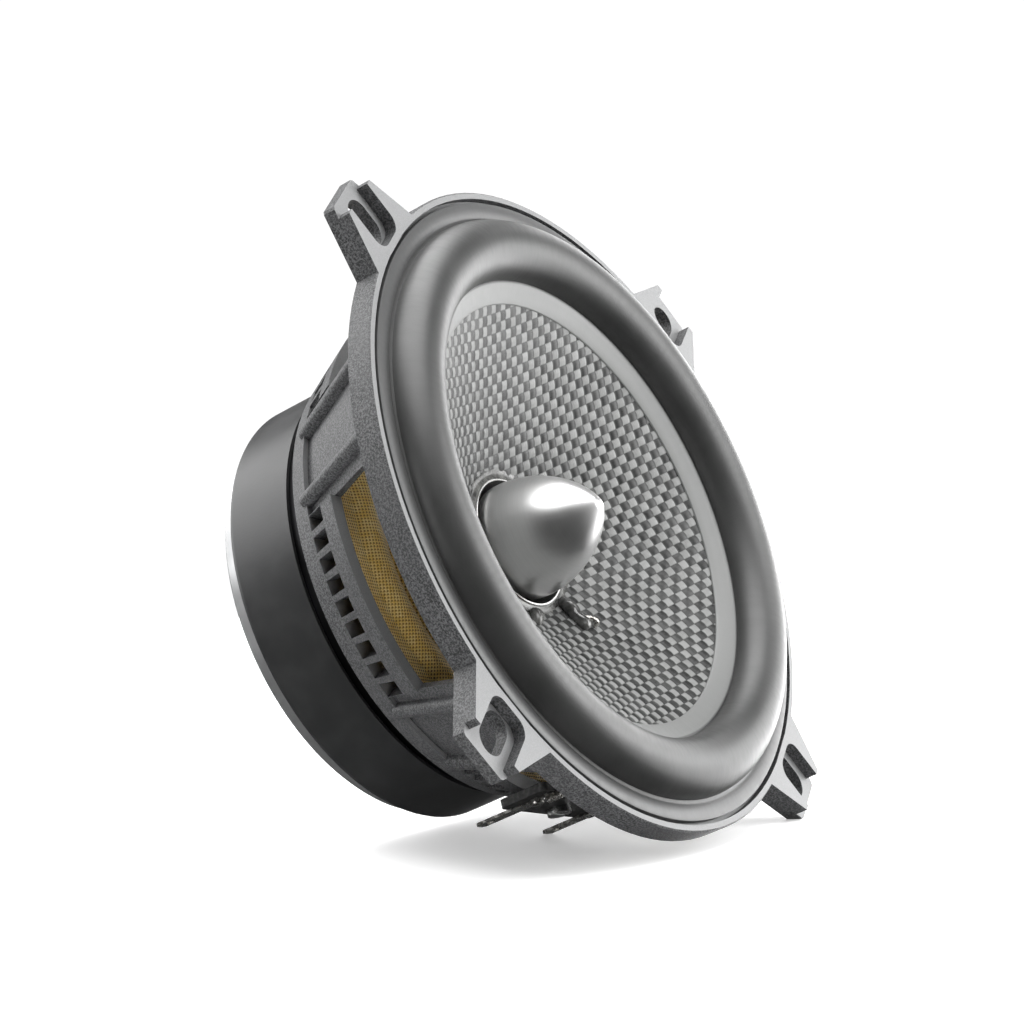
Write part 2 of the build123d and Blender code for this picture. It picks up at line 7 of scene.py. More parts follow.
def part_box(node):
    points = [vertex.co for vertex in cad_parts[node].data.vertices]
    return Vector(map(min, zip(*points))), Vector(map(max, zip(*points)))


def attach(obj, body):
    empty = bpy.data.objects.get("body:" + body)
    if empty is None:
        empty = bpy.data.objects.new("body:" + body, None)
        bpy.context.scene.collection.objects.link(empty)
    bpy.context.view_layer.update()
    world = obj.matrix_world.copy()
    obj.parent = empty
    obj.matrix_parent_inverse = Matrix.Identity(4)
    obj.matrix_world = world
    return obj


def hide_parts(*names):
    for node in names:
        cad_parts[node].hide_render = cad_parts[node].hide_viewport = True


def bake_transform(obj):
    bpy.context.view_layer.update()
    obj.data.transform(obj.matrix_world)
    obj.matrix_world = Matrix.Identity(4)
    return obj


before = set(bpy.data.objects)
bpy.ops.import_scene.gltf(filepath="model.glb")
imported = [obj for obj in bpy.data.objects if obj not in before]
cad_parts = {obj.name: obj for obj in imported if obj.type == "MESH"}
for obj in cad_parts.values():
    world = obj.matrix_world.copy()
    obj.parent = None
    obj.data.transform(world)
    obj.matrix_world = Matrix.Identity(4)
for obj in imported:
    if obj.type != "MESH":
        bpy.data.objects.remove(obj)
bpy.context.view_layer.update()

mm = 0.001


# ---- Basket ----
# The real basket is pressure-cast aluminium, shot-blasted and sprayed with grey lacquer. The flange's
# front is smooth; the walls, arms and ring keep the grain of the casting.

def new_material(name, colour, roughness, metallic=0.0, specular=0.5):
    """A Principled material; returns it with its node tree and its shader."""
    material = bpy.data.materials.new(name)
    material.use_nodes = True
    shader = material.node_tree.nodes["Principled BSDF"]
    shader.inputs["Base Color"].default_value = (*colour, 1)
    shader.inputs["Roughness"].default_value = roughness
    shader.inputs["Metallic"].default_value = metallic
    shader.inputs["Specular IOR Level"].default_value = specular
    return material, material.node_tree, shader


def node(tree, kind, settings=None, **inputs):
    """A node with its settings and inputs; an input is a value or another node's output."""
    made = tree.nodes.new("ShaderNode" + kind)
    for key, value in (settings or {}).items():
        setattr(made, key, value)
    for key, value in inputs.items():
        numbered = key[0] == "i" and key[1:].isdigit()
        socket = made.inputs[int(key[1:]) if numbered else key.replace("_", " ")]
        if isinstance(value, bpy.types.NodeSocket):
            tree.links.new(value, socket)
        else:
            socket.default_value = value
    return made


def math_node(tree, operation, first, second=0.0, third=0.0):
    return node(tree, "Math", {"operation": operation}, i0=first, i1=second, i2=third).outputs[0]


def place(tree):
    """The point's place on the object, in metres."""
    return node(tree, "TexCoord").outputs["Object"]


def noise(tree, scale, detail=2.0, vector=None, roughness=0.5):
    made = node(tree, "TexNoise", None, Scale=scale, Detail=detail, Roughness=roughness)
    tree.links.new(vector or place(tree), made.inputs["Vector"])
    return made.outputs["Fac"]


def ramp(tree, value, low, high, to_low=0.0, to_high=1.0):
    """A smooth step from one value to another as the input passes from low to high."""
    settings = {"interpolation_type": "SMOOTHSTEP"}
    return node(tree, "MapRange", settings, i0=value, i1=low, i2=high, i3=to_low, i4=to_high).outputs[0]


def mix_colour(tree, share, first, second):
    made = node(tree, "Mix", {"data_type": "RGBA"})
    for socket, value in ((made.inputs[0], share), (made.inputs[6], first), (made.inputs[7], second)):
        if isinstance(value, bpy.types.NodeSocket):
            tree.links.new(value, socket)
        else:
            socket.default_value = value if isinstance(value, float) else (*value, 1)
    return made.outputs[2]


def mix_base_colour(tree, share, first, second, shader):
    """Gives the shader a base colour mixed from two by the share."""
    tree.links.new(mix_colour(tree, share, first, second), shader.inputs["Base Color"])


def bump(tree, shader, height, distance, strength=1.0, under=None):
    made = node(tree, "Bump", None, Strength=strength, Distance=distance, Height=height)
    if under is not None:
        tree.links.new(under, made.inputs["Normal"])
    if shader is not None:
        tree.links.new(made.outputs[0], shader.inputs["Normal"])
    return made.outputs[0]


def paint_nodes(names, material):
    for name in names:
        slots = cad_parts[name].data.materials
        slots.clear()
        slots.append(material)


cast, tree, shader = new_material("cast_lacquer", (0.3, 0.305, 0.31), 0.42, specular=0.45)
facing = node(tree, "SeparateXYZ")
tree.links.new(node(tree, "TexCoord").outputs["Normal"], facing.inputs[0])
# Front faces are coloured lighter than the walls: partly the smoother finish, partly painted light, with
# painted shade on the walls.
front_face = ramp(tree, math_node(tree, "MULTIPLY", facing.outputs[1], -1.0), 0.90, 0.99)
grain = noise(tree, 2700, 3.0, roughness=0.75)
fine = noise(tree, 6500, 2.0)
patches = noise(tree, 60, 3.0)
grey = mix_colour(tree, ramp(tree, grain, 0.40, 0.62), (0.014, 0.0145, 0.0155), (0.105, 0.106, 0.109))
grey = mix_colour(tree, ramp(tree, patches, 0.35, 0.8, 0.0, 0.5), grey, (0.06, 0.06, 0.062))
light = mix_colour(tree, ramp(tree, fine, 0.3, 0.7), (0.20, 0.202, 0.204), (0.25, 0.252, 0.254))
tree.links.new(mix_colour(tree, front_face, grey, light), shader.inputs["Base Color"])
tree.links.new(ramp(tree, fine, 0.2, 0.8, 0.48, 0.6), shader.inputs["Roughness"])
relief = math_node(tree, "MULTIPLY", grain, ramp(tree, front_face, 0.0, 1.0, 1.0, 0.12))
bump(tree, shader, relief, 0.0001, 0.8)
paint_nodes(["basket"], cast)


# ---- Surround ----
# One moulded half roll of butyl rubber. Its outer lip is glued in the basket's seat and its inner lip
# over the cone's rim; the real roll bends from the frame to the cone as the cone travels.

def smooth_piece(name, vertices, faces, material, angle=40):
    mesh = bpy.data.meshes.new(name)
    mesh.from_pydata(vertices, [], faces)
    mesh.validate()
    mesh.update()
    made = bpy.data.objects.new(name, mesh)
    bpy.context.scene.collection.objects.link(made)
    mesh.materials.append(material)
    mesh.shade_smooth()
    mesh.set_sharp_from_angle(angle=math.radians(angle))
    return made


def on_axis(radius, turn, height):
    """A point from its radius, its turn round the axis and its height before the mounting face, in mm."""
    return (radius * math.cos(turn) * mm, -height * mm, radius * math.sin(turn) * mm)


def turned_piece(name, outline, material, steps=240, angle=40, ripple=None):
    """A closed ring or solid turned from (radius, height) points; ripple may move each point."""
    vertices, faces = [], []
    count = len(outline)
    for i in range(steps):
        turn = 2 * math.pi * i / steps
        for radius, height in outline:
            if ripple:
                radius, height = ripple(radius, height, turn)
            vertices.append(on_axis(radius, turn, height))
    for i in range(steps):
        here, there = i * count, (i + 1) % steps * count
        for k in range(count):
            n = (k + 1) % count
            if outline[k][0] == 0 and outline[n][0] == 0:
                continue
            faces.append((here + k, here + n, there + n, there + k))
    made = smooth_piece(name, vertices, faces, material, angle)
    weld = made.modifiers.new("weld", "WELD")
    weld.merge_threshold = 1e-6
    bpy.context.view_layer.objects.active = made
    made.select_set(True)
    bpy.ops.object.modifier_apply(modifier="weld")
    made.select_set(False)
    return made


def arc(start, peak, end, steps):
    """Points on the circle through three (radius, height) points, start and end included."""
    (ax, ay), (bx, by), (cx, cy) = start, peak, end
    d = 2 * (ax * (by - cy) + bx * (cy - ay) + cx * (ay - by))
    a2, b2, c2 = ax * ax + ay * ay, bx * bx + by * by, cx * cx + cy * cy
    ux = (a2 * (by - cy) + b2 * (cy - ay) + c2 * (ay - by)) / d
    uy = (a2 * (cx - bx) + b2 * (ax - cx) + c2 * (bx - ax)) / d
    radius = math.hypot(ax - ux, ay - uy)
    first, middle, last = (math.atan2(y - uy, x - ux) for x, y in (start, peak, end))
    full = 2 * math.pi
    sweep = (last - first) % full
    if (middle - first) % full > sweep:
        sweep -= full
    return [
        (ux + radius * math.cos(first + sweep * i / steps), uy + radius * math.sin(first + sweep * i / steps))
        for i in range(steps + 1)
    ]


def radius_in(tree):
    """Distance from the speaker's axis in metres, and the node that splits the place into its parts."""
    parts = node(tree, "SeparateXYZ")
    tree.links.new(place(tree), parts.inputs[0])
    x2 = math_node(tree, "MULTIPLY", parts.outputs[0], parts.outputs[0])
    z2 = math_node(tree, "MULTIPLY", parts.outputs[2], parts.outputs[2])
    return math_node(tree, "SQRT", math_node(tree, "ADD", x2, z2)), parts


def turn_in(tree, parts):
    """Turn round the speaker's axis, in radians."""
    return math_node(tree, "ARCTAN2", parts.outputs[2], parts.outputs[0])


def streaks(tree, detail, first, second, roughness=0.5):
    """Noise drawn out along a direction by scaling its two (value, frequency) parts apart."""
    place_in = node(tree, "CombineXYZ", None, i0=math_node(tree, "MULTIPLY", *first),
                    i1=math_node(tree, "MULTIPLY", *second))
    return noise(tree, 1.0, detail, place_in.outputs[0], roughness)


def blend_by_radius(piece, still, moving):
    """Bakes the piece's placement into its mesh and works out each point's share, from 0 outside one radius to
    1 inside the other, in metres; the share is not used.
    """
    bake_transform(piece)
    points = np.array([v.co for v in piece.data.vertices])
    share = np.clip((np.hypot(points[:, 0], points[:, 2]) - still) / (moving - still), 0, 1)
    share = share * share * (3 - 2 * share)


surround_low, surround_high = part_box("surround")
cone_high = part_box("cone")[1]
surround_rim = surround_high.x / mm
roll_peak = -surround_low.y / mm
seat_height = 3.6
front_height = 5.0
lip_width = 3.7
roll_width = 12.5
outer_foot = surround_rim - lip_width
inner_foot = outer_foot - roll_width
inner_edge = inner_foot - lip_width
cone_rim = cone_high.x / mm
neck_radius = 13.15
neck_height = -14.6
foot_height = 3.65
cone_slope = (foot_height - neck_height) / (inner_foot - neck_radius)


def cone_height(radius):
    """Height of the cone's front surface, in mm."""
    return neck_height + cone_slope * (radius - neck_radius)


mid_roll = (outer_foot + inner_foot) / 2
lip = 0.5
lip_round = 0.12
skin = 0.7
fillet = 0.25
glue_line = 0.1
front_roll = arc((inner_foot + fillet, cone_height(inner_foot) + lip), (mid_roll, roll_peak),
                 (outer_foot - fillet, front_height), 40)
back_roll = arc((outer_foot - skin, seat_height), (mid_roll, roll_peak - skin),
                (inner_foot + skin, cone_height(inner_foot) + glue_line), 32)
surround_outline = [
    (inner_edge, cone_height(inner_edge) + lip_round),
    (inner_edge, cone_height(inner_edge) + lip - lip_round),
    (inner_edge + 0.14, cone_height(inner_edge) + lip),
    (inner_foot - 2.4, cone_height(inner_foot - 2.4) + lip),
    (inner_foot - 1.1, cone_height(inner_foot - 1.1) + lip),
    (inner_foot - 0.1, cone_height(inner_foot) + lip - 0.02),
    *front_roll,
    (outer_foot + 0.15, front_height - 0.16),
    (outer_foot + 0.5, front_height - 0.2),
    (outer_foot + 0.75, front_height - 0.02),
    (surround_rim - 0.35, front_height),
    (surround_rim - 0.05, front_height - lip_round),
    (surround_rim, front_height - 0.4),
    (surround_rim, seat_height),
    *back_roll,
    (inner_foot, cone_height(inner_foot) + glue_line),
]
rubber, tree, shader = new_material("surround_rubber", (0.06, 0.061, 0.06), 0.46, specular=0.75)
distance, parts = radius_in(tree)
bloom = noise(tree, 90, 3.0)
lip_share = ramp(tree, distance, (inner_foot + 0.1) * mm, (inner_foot - 0.35) * mm)
rim_share = ramp(tree, distance, (outer_foot + 0.2) * mm, (outer_foot + 0.7) * mm)
tone = mix_colour(tree, ramp(tree, bloom, 0.3, 0.75), (0.018, 0.0185, 0.018), (0.028, 0.0285, 0.028))
tone = mix_colour(tree, lip_share, tone, (0.17, 0.173, 0.17))
tone = mix_colour(tree, rim_share, tone, (0.05, 0.051, 0.051))
tree.links.new(tone, shader.inputs["Base Color"])
scuffs = streaks(tree, 2.0, (turn_in(tree, parts), 60.0), (distance, 300.0))
tree.links.new(ramp(tree, scuffs, 0.3, 0.75, 0.43, 0.49), shader.inputs["Roughness"])
soft = bump(tree, None, noise(tree, 420, 2.0), 0.00006, 0.25)
bump(tree, shader, noise(tree, 2600, 2.0), 0.00003, 0.35, soft)
surround = turned_piece("surround_roll", surround_outline, rubber, steps=288, angle=50)
blend_by_radius(surround, outer_foot * mm, inner_foot * mm)
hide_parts("surround")


# ---- Cone ----
# Plain-woven glass-fibre cloth, set in clear resin and pressed to a straight cone. Flat yarns pass over
# and under one another. The warp on top is painted bright and the weft on top dark, as painted light
# and shade, and the gaps between yarns carry painted shade.

yarn = 1.72
weave_turn = math.radians(-23.5)
grid_per_yarn = 6
relief_height = 0.26
cloth_thickness = 0.85
under_lip = 0.02


def weave_relief(s, t):
    """Height of the cloth's front in mm, from the place across the two sets of yarns."""
    i, j = math.floor(s / yarn), math.floor(t / yarn)
    across, along = (s / yarn - i - 0.5), (t / yarn - j - 0.5)
    if (i + j) % 2:
        across, along = along, across
    crown = math.cos(math.pi * across) ** 0.5 if abs(across) < 0.5 else 0.0
    return relief_height * (math.cos(math.pi * along * 0.92) * 0.75 + 0.35 * crown - 0.45)


step = yarn / grid_per_yarn
cells = math.ceil(cone_rim / step) + 1
inner_rim = neck_radius + 0.02
vertices, faces, index = [], [], {}
for a in range(-cells, cells + 1):
    for b in range(-cells, cells + 1):
        s, t = a * step, b * step
        radius = math.hypot(s, t)
        if not inner_rim - step < radius < cone_rim + step:
            continue
        flat = min(max(radius, inner_rim), cone_rim)
        turn = math.atan2(t, s) + weave_turn
        rise = weave_relief(s, t) if inner_rim < radius < cone_rim else 0.0
        index[a, b] = len(vertices)
        vertices.append(on_axis(flat, turn, cone_height(flat) + rise - under_lip))
for (a, b), corner in index.items():
    ring_of = [(a, b), (a + 1, b), (a + 1, b + 1), (a, b + 1)]
    if not all(c in index for c in ring_of):
        continue
    if any(inner_rim < math.hypot(c[0] * step, c[1] * step) < cone_rim for c in ring_of):
        faces.append([index[c] for c in ring_of])

cloth, tree, shader = new_material("woven_glass_fibre", (0.4, 0.4, 0.4), 0.3, specular=0.28)
parts = node(tree, "SeparateXYZ")
tree.links.new(place(tree), parts.inputs[0])
cosine, sine = math.cos(weave_turn), math.sin(weave_turn)


def woven_axis(first, second):
    """Place across one set of yarns, counted in yarns."""
    a = math_node(tree, "MULTIPLY", parts.outputs[0], first / (yarn * mm))
    b = math_node(tree, "MULTIPLY", parts.outputs[2], second / (yarn * mm))
    return math_node(tree, "ADD", a, b)


across_warp = woven_axis(cosine, sine)
across_weft = woven_axis(-sine, cosine)
warp_count = math_node(tree, "FLOOR", across_warp)
weft_count = math_node(tree, "FLOOR", across_weft)
weft_over = math_node(tree, "FLOORED_MODULO", math_node(tree, "ADD", warp_count, weft_count), 2.0)
u = math_node(tree, "SUBTRACT", math_node(tree, "FRACT", across_warp), 0.5)
v = math_node(tree, "SUBTRACT", math_node(tree, "FRACT", across_weft), 0.5)
cell_noise = node(tree, "TexWhiteNoise", {"noise_dimensions": "2D"})
cell_place = node(tree, "CombineXYZ", None, i0=warp_count, i1=weft_count)
tree.links.new(cell_place.outputs[0], cell_noise.inputs["Vector"])
chance = cell_noise.outputs["Value"]


def pick(first, second):
    """The first where the warp is on top, the second where the weft is."""
    made = node(tree, "Mix", {"data_type": "FLOAT"}, i0=weft_over, i2=first, i3=second)
    return made.outputs[0]


side = math_node(tree, "ABSOLUTE", pick(u, v))
end = math_node(tree, "ABSOLUTE", pick(v, u))
# Each yarn is darker towards its sides and ends: painted shade in the gaps between yarns.
side_shade = ramp(tree, side, 0.40, 0.5, 1.0, 0.35)
end_shade = ramp(tree, end, 0.36, 0.52, 1.0, 0.45)
painted_gap_shade = math_node(tree, "MULTIPLY", side_shade, end_shade)
across_yarn = math_node(tree, "MULTIPLY", pick(u, v), 22.0)
along_yarn = math_node(tree, "MULTIPLY", pick(v, u), 1.6)
each_yarn = math_node(tree, "MULTIPLY", chance, 40.0)
fibres_in = node(tree, "CombineXYZ", None, i0=across_yarn, i1=along_yarn, i2=each_yarn)
fibres = noise(tree, 1.0, 2.0, fibres_in.outputs[0])
# Warp on top painted bright and weft on top painted dark: painted light and shade on one cloth.
warp_lit = mix_colour(tree, fibres, (0.13, 0.132, 0.13), (0.27, 0.273, 0.267))
warp_lit = mix_colour(tree, math_node(tree, "MULTIPLY", chance, 0.3), warp_lit, (0.36, 0.364, 0.36))
weft_shaded = mix_colour(tree, fibres, (0.009, 0.0092, 0.009), (0.036, 0.0365, 0.036))
weft_shaded = mix_colour(tree, math_node(tree, "MULTIPLY", chance, 0.4), weft_shaded, (0.10, 0.102, 0.10))
yarns = mix_colour(tree, weft_over, warp_lit, weft_shaded)
mix_base_colour(tree, painted_gap_shade, (0.018, 0.0185, 0.018), yarns, shader)
warp_gloss = ramp(tree, fibres, 0.2, 0.8, 0.30, 0.45)
weft_gloss = ramp(tree, fibres, 0.2, 0.8, 0.26, 0.4)
tree.links.new(pick(warp_gloss, weft_gloss), shader.inputs["Roughness"])
shader.inputs["Coat Weight"].default_value = 0.05
shader.inputs["Coat Roughness"].default_value = 0.25
bump(tree, shader, fibres, 0.00005, 0.6)

cone = smooth_piece("woven_cone", vertices, faces, cloth, angle=70)
thick = cone.modifiers.new("cloth_thickness", "SOLIDIFY")
thick.thickness = cloth_thickness * mm
thick.offset = -1.0
if cone.data.polygons[0].normal.y > 0:
    cone.data.flip_normals()
bpy.context.view_layer.objects.active = cone
bpy.ops.object.modifier_apply(modifier="cloth_thickness")
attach(cone, "cone_assembly")
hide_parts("cone")


# ---- Neck bead and voice-coil former ----
# Clear adhesive run round the joint of cone and former by hand, so its edge wanders a little; the
# former's bare foil edge stands just proud of it.

former_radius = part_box("voice_coil_former")[1].x / mm


def wandering(radius, height, turn):
    """The hand-run bead's small swells."""
    swell = 0.16 * math.sin(3 * turn + 0.6) + 0.11 * math.sin(7 * turn + 2.1) + 0.05 * math.sin(17 * turn)
    share = min(1.0, max(0.0, (radius - former_radius - 0.25) / 1.6))
    return radius + swell * share, height + 0.12 * math.sin(5 * turn + 1.0) * (0.4 if share < 0.9 else 0.0)


bead_back = neck_height - 1.3
bead_front = neck_height + 1.1
bead_edge = former_radius + 2.1
bead_outline = [(former_radius + 0.02, bead_back), (former_radius + 0.02, bead_front - 0.05)]
bead_outline += arc((former_radius + 0.3, bead_front), (former_radius + 1.15, bead_front - 0.15),
                    (bead_edge, cone_height(bead_edge) + 0.1), 10)
bead_outline += [(bead_edge, cone_height(bead_edge) - 0.3), (former_radius + 0.6, bead_back)]
adhesive, tree, shader = new_material("clear_adhesive", (0.2, 0.2, 0.19), 0.22, specular=0.6)
mix_base_colour(tree, ramp(tree, noise(tree, 350, 3.0), 0.3, 0.7), (0.04, 0.04, 0.0385), (0.14, 0.14, 0.133), shader)
tree.links.new(ramp(tree, noise(tree, 900, 2.0), 0.3, 0.7, 0.16, 0.34), shader.inputs["Roughness"])
bump(tree, shader, noise(tree, 500, 2.0), 0.00012, 0.5)
bead = turned_piece("neck_bead", bead_outline, adhesive, ripple=wandering)
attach(bead, "cone_assembly")
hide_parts("cone_neck_glue")

foil, tree, shader = new_material("former_foil", (0.6, 0.6, 0.59), 0.3, metallic=0.9)
parts = node(tree, "SeparateXYZ")
tree.links.new(place(tree), parts.inputs[0])
rolled = streaks(tree, 3.0, (turn_in(tree, parts), 90.0), (parts.outputs[1], 500.0))
mix_base_colour(tree, rolled, (0.45, 0.45, 0.44), (0.72, 0.72, 0.7), shader)
tree.links.new(ramp(tree, rolled, 0.2, 0.8, 0.24, 0.42), shader.inputs["Roughness"])
paint_nodes(["voice_coil_former"], foil)

copper, tree, shader = new_material("enamelled_copper", (0.55, 0.22, 0.1), 0.3, metallic=0.95)
parts = node(tree, "SeparateXYZ")
tree.links.new(place(tree), parts.inputs[0])
wire = 0.24 * mm
turns = math_node(tree, "SINE", math_node(tree, "MULTIPLY", parts.outputs[1], 2 * math.pi / wire))
# Darker between the wire turns: painted shade in the grooves.
mix_base_colour(tree, ramp(tree, turns, -1.0, 0.4), (0.16, 0.05, 0.02), (0.62, 0.26, 0.11), shader)
bump(tree, shader, turns, 0.00006, 0.8)
paint_nodes(["voice_coil_winding"], copper)


# ---- Spider ----
# Amber resin-dipped cotton, pressed into one broad outer roll and finer corrugations. Its rim is glued
# on the basket's shelf and its collar on the former; the real spider bends between the two.

spider_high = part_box("spider")[1]
spider_rim = spider_high.x / mm
wave_depth = 1.1
shelf_height = -spider_high.y / mm + wave_depth
cloth_skin = 0.45
cloth_lift = 0.02
broad_roll_height = 1.45
wave_height = 1.0
roll_out = spider_rim - 3.9
roll_in = roll_out - 7.6
collar = former_radius + 0.25
collar_width = 2.6
wave_count = 8
wave = (roll_in - collar - collar_width) / wave_count
outline_steps = 150


def spider_height(radius):
    """Height of the cloth's middle above its flat, in mm."""
    if radius >= roll_out:
        return 0.0
    if radius >= roll_in:
        return broad_roll_height * math.sin(math.pi * (roll_out - radius) / (roll_out - roll_in))
    place_in = (roll_in - radius) / wave
    if place_in >= wave_count:
        return 0.0
    return -wave_height * math.sin(math.pi * place_in)


radii = [spider_rim - (spider_rim - collar) * i / outline_steps for i in range(outline_steps + 1)]
spider_outline = [(r, shelf_height + spider_height(r) + cloth_skin) for r in radii]
spider_outline += [(r, shelf_height + spider_height(r) + cloth_lift) for r in reversed(radii)]
amber, tree, shader = new_material("spider_cloth", (0.6, 0.4, 0.1), 0.62, specular=0.3)
parts = node(tree, "SeparateXYZ")
tree.links.new(place(tree), parts.inputs[0])
thread = 0.86 * mm
warp = math_node(tree, "SINE", math_node(tree, "MULTIPLY", parts.outputs[0], 2 * math.pi / thread))
weft = math_node(tree, "SINE", math_node(tree, "MULTIPLY", parts.outputs[2], 2 * math.pi / thread))
mesh_height = math_node(tree, "MULTIPLY", warp, weft)
slub = noise(tree, 700, 2.0)
stain = noise(tree, 45, 3.0)
gold = mix_colour(tree, ramp(tree, stain, 0.3, 0.7), (0.80, 0.50, 0.11), (0.92, 0.62, 0.18))
gold = mix_colour(tree, ramp(tree, slub, 0.25, 0.75), gold, (0.98, 0.74, 0.30))
# Darker in the weave's hollows: painted shade.
mix_base_colour(tree, ramp(tree, mesh_height, -0.75, 0.15), (0.30, 0.15, 0.02), gold, shader)
bump(tree, shader, mesh_height, 0.00009, 0.7)
shader.inputs["Sheen Weight"].default_value = 0.25
shader.inputs["Sheen Roughness"].default_value = 0.5
spider = turned_piece("corrugated_spider", spider_outline, amber, steps=216, angle=60)
blend_by_radius(spider, roll_out * mm, (collar + collar_width) * mm)
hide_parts("spider")
paint_nodes(["spider_glue"], adhesive)


# ---- Phase plug ----
# Turned from aluminium bar and satin-polished, screwed on the pole with a hidden stud: a round shoulder,
# an ogive and a round nose.

plug_low, plug_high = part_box("phase_plug")
plug_radius = plug_high.x / mm
tip_height = -plug_low.y / mm
pole_height = -plug_high.y / mm
plug_length = 19.0
widest_height = tip_height - plug_length
nose = 3.0
shoulder_step = 2.4
shoulder_drop = 3.6
stem_radius = plug_radius - shoulder_step
reach = tip_height - nose - widest_height
ogive = (plug_radius**2 + reach**2 - nose**2) / (2 * (plug_radius - nose))
lean = math.atan2(reach, ogive - plug_radius)
plug_outline = [(0.0, pole_height), (stem_radius, pole_height), (stem_radius, widest_height - shoulder_drop)]
shoulder_steps, ogive_steps, nose_steps = 16, 40, 12
for i in range(1, shoulder_steps + 1):
    turn = math.pi / 2 * i / shoulder_steps
    out = stem_radius + shoulder_step * math.sin(turn)
    plug_outline.append((out, widest_height - shoulder_drop * math.cos(turn)))
for i in range(1, ogive_steps + 1):
    turn = lean * i / ogive_steps
    plug_outline.append((plug_radius - ogive + ogive * math.cos(turn), widest_height + ogive * math.sin(turn)))
for i in range(1, nose_steps + 1):
    turn = lean + (math.pi / 2 - lean) * i / nose_steps
    out = nose * math.cos(turn) if i < nose_steps else 0.0
    plug_outline.append((out, tip_height - nose + nose * math.sin(turn)))
polished, tree, shader = new_material("satin_aluminium", (0.78, 0.78, 0.78), 0.2, metallic=1.0)
distance, parts = radius_in(tree)
lathe_marks = streaks(tree, 4.0, (distance, 5200.0), (parts.outputs[1], 5200.0), 0.6)
smears = noise(tree, 130, 3.0)
mix_base_colour(tree, lathe_marks, (0.70, 0.70, 0.70), (0.83, 0.83, 0.825), shader)
tree.links.new(ramp(tree, smears, 0.3, 0.75, 0.33, 0.38), shader.inputs["Roughness"])
plug = turned_piece("bullet_plug", plug_outline, polished, steps=160, angle=60)
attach(plug, "driver_frame")
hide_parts("phase_plug")


# ---- Motor ----
# Black-passivated top plate, ferrite ring, zinc-plated T-yoke, and a moulded rubber boot stretched over
# the magnet. All are round and turned on one axis.

def turned_steel(name, colour, roughness, metallic=1.0, pitch=0.5):
    """Plated steel with the faint rings of the lathe."""
    material, tree, shader = new_material(name, colour, roughness, metallic)
    distance, parts = radius_in(tree)
    rings = streaks(tree, 3.0, (distance, 1000 / pitch), (parts.outputs[1], 1000 / pitch), 0.6)
    clouds = noise(tree, 120, 3.0)
    mix_base_colour(tree, rings, tuple(c * 0.85 for c in colour), colour, shader)
    dullness = ramp(tree, clouds, 0.3, 0.75, roughness * 0.8, roughness * 1.35)
    tree.links.new(dullness, shader.inputs["Roughness"])
    bump(tree, shader, rings, 0.00001, 0.2)
    return material


paint_nodes(["top_plate"], turned_steel("black_steel", (0.03, 0.03, 0.032), 0.4))
paint_nodes(["back_plate"], turned_steel("zinc_plate", (0.50, 0.505, 0.51), 0.45, 0.85))
zinc_screws = turned_steel("zinc_screws", (0.7, 0.71, 0.7), 0.32)
paint_nodes(["phase_plug_stud", "basket_screws", "terminal_screw"], zinc_screws)

ferrite, tree, shader = new_material("ground_ferrite", (0.05, 0.05, 0.055), 0.6)
specks = noise(tree, 2400, 3.0)
mix_base_colour(tree, ramp(tree, specks, 0.3, 0.75), (0.03, 0.03, 0.033), (0.1, 0.1, 0.11), shader)
bump(tree, shader, specks, 0.00005, 0.4)
paint_nodes(["magnet"], ferrite)

boot_skin, tree, shader = new_material("boot_rubber", (0.05, 0.051, 0.052), 0.46, specular=0.5)
dust = noise(tree, 160, 4.0)
mix_base_colour(tree, ramp(tree, dust, 0.35, 0.9), (0.016, 0.0165, 0.017), (0.026, 0.0265, 0.027), shader)
tree.links.new(ramp(tree, dust, 0.3, 0.8, 0.40, 0.47), shader.inputs["Roughness"])
waviness = bump(tree, None, noise(tree, 55, 2.0), 0.00012, 0.2)
bump(tree, shader, noise(tree, 2100, 2.0), 0.00003, 0.4, waviness)
paint_nodes(["magnet_boot"], boot_skin)


# ---- Terminals ----
# Black fibre board screwed to a cast seat, with two tin-plated blade tabs riveted on and the braided
# leads soldered to them.

board, tree, shader = new_material("fibre_board", (0.02, 0.02, 0.02), 0.5)
fleck = noise(tree, 1500, 3.0)
mix_base_colour(tree, ramp(tree, fleck, 0.4, 0.8), (0.012, 0.012, 0.012), (0.05, 0.05, 0.048), shader)
bump(tree, shader, fleck, 0.00006, 0.5)
paint_nodes(["terminal_board"], board)

tin, tree, shader = new_material("tin_plate", (0.72, 0.71, 0.68), 0.25, metallic=1.0)
wear = noise(tree, 600, 3.0)
mix_base_colour(tree, ramp(tree, wear, 0.3, 0.75), (0.55, 0.54, 0.51), (0.82, 0.81, 0.78), shader)
tree.links.new(ramp(tree, wear, 0.3, 0.75, 0.18, 0.38), shader.inputs["Roughness"])
bump(tree, shader, wear, 0.00004, 0.3)
paint_nodes(["terminal_positive", "terminal_negative", "terminal_rivets"], tin)

solder, tree, shader = new_material("bright_solder", (0.8, 0.8, 0.8), 0.2, metallic=1.0)
frost = noise(tree, 1200, 2.0)
mix_base_colour(tree, frost, (0.6, 0.6, 0.6), (0.88, 0.88, 0.88), shader)
bump(tree, shader, frost, 0.0001, 0.5)
paint_nodes(["terminal_solder"], solder)


# ---- Lead joints ----
# Each winding end is soldered to its braid on the cone and buried in adhesive: a long glossy run with
# the braid's clipped end curling out of it on the positive side, and a shorter drop on the negative.

def smooth_route(points, steps):
    """A curve through the points; each may carry more numbers, such as a thickness."""
    points = [np.array(p, dtype=float) for p in points]
    padded = [2 * points[0] - points[1], *points, 2 * points[-1] - points[-2]]
    route = []
    for a, b, c, d in zip(padded, padded[1:], padded[2:], padded[3:]):
        for i in range(steps):
            t = i / steps
            square, cube = (2 * a - 5 * b + 4 * c - d) * t**2, (3 * b - a - 3 * c + d) * t**3
            route.append(0.5 * (2 * b + (c - a) * t + square + cube))
    return [*route, points[-1]]


